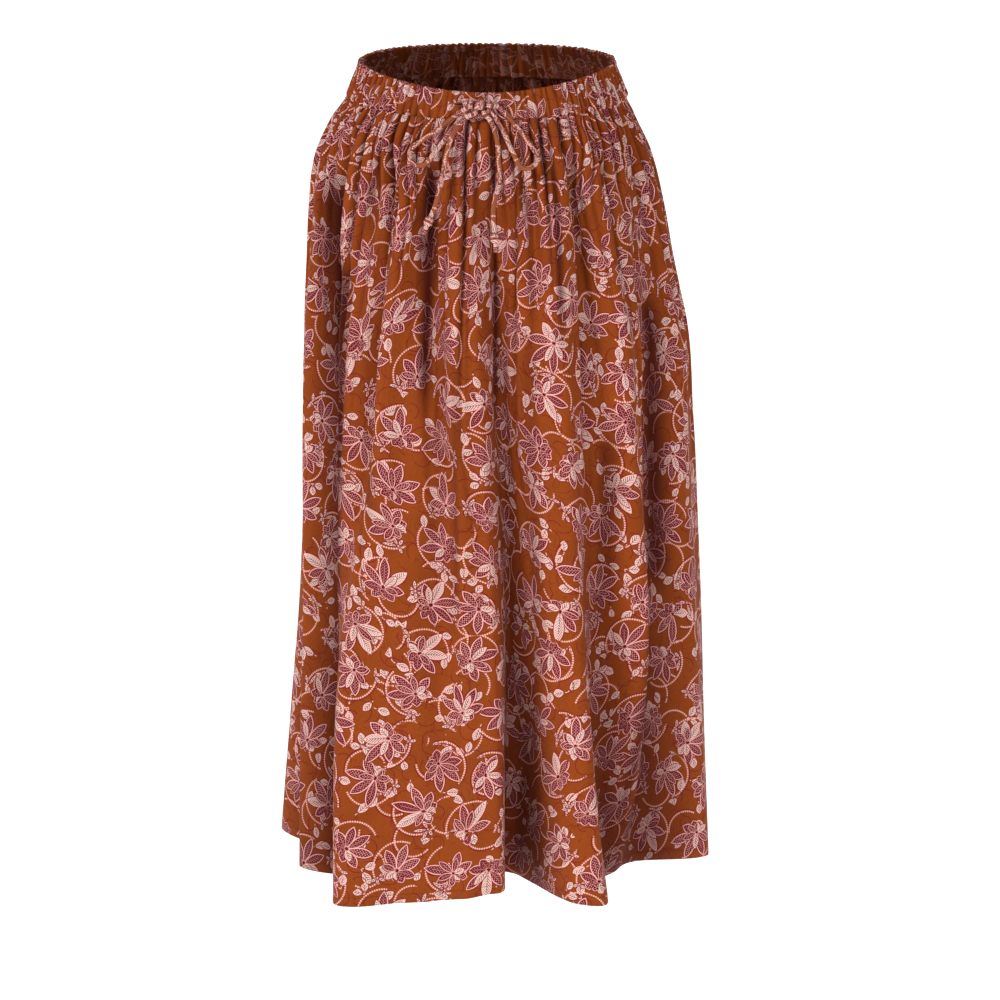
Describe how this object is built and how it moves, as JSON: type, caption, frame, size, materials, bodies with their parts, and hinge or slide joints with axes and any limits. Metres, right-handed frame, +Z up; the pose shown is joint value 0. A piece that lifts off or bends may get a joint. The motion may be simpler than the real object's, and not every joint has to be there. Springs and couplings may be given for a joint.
{
  "type": "midi skirt",
  "caption": "Gathered cotton midi skirt, worn shape, with a ruched elastic waist casing, a drawstring bow and a flower print",
  "frame": {"origin": "middle of the waist opening, at half the casing's height, where the wearer's waist holds the skirt", "axes": "+Z up out of the waist, -Y towards the front with the bow, +X to the right of a viewer at the front"},
  "size_m": [0.4291, 0.3331, 0.799],
  "materials": {
    "printed_cotton": "soft plain-weave cotton, rust ground with a pink and maroon flower print",
    "casing_cotton": "the same printed cotton, ruched over elastic",
    "cord_cotton": "rouleau cord of the same printed cotton"
  },
  "bodies": {
    "root": {"front_panel": "printed_cotton", "back_panel": "printed_cotton", "waist_casing": "casing_cotton", "bow_knot": "cord_cotton", "bow_loop_left": "cord_cotton", "bow_loop_right": "cord_cotton", "cord_tail_left": "cord_cotton", "cord_tail_right": "cord_cotton", "end_knot_left": "cord_cotton", "end_knot_right": "cord_cotton", "slit_cord_left": "cord_cotton", "slit_cord_right": "cord_cotton"}
  },
  "joints": []
}
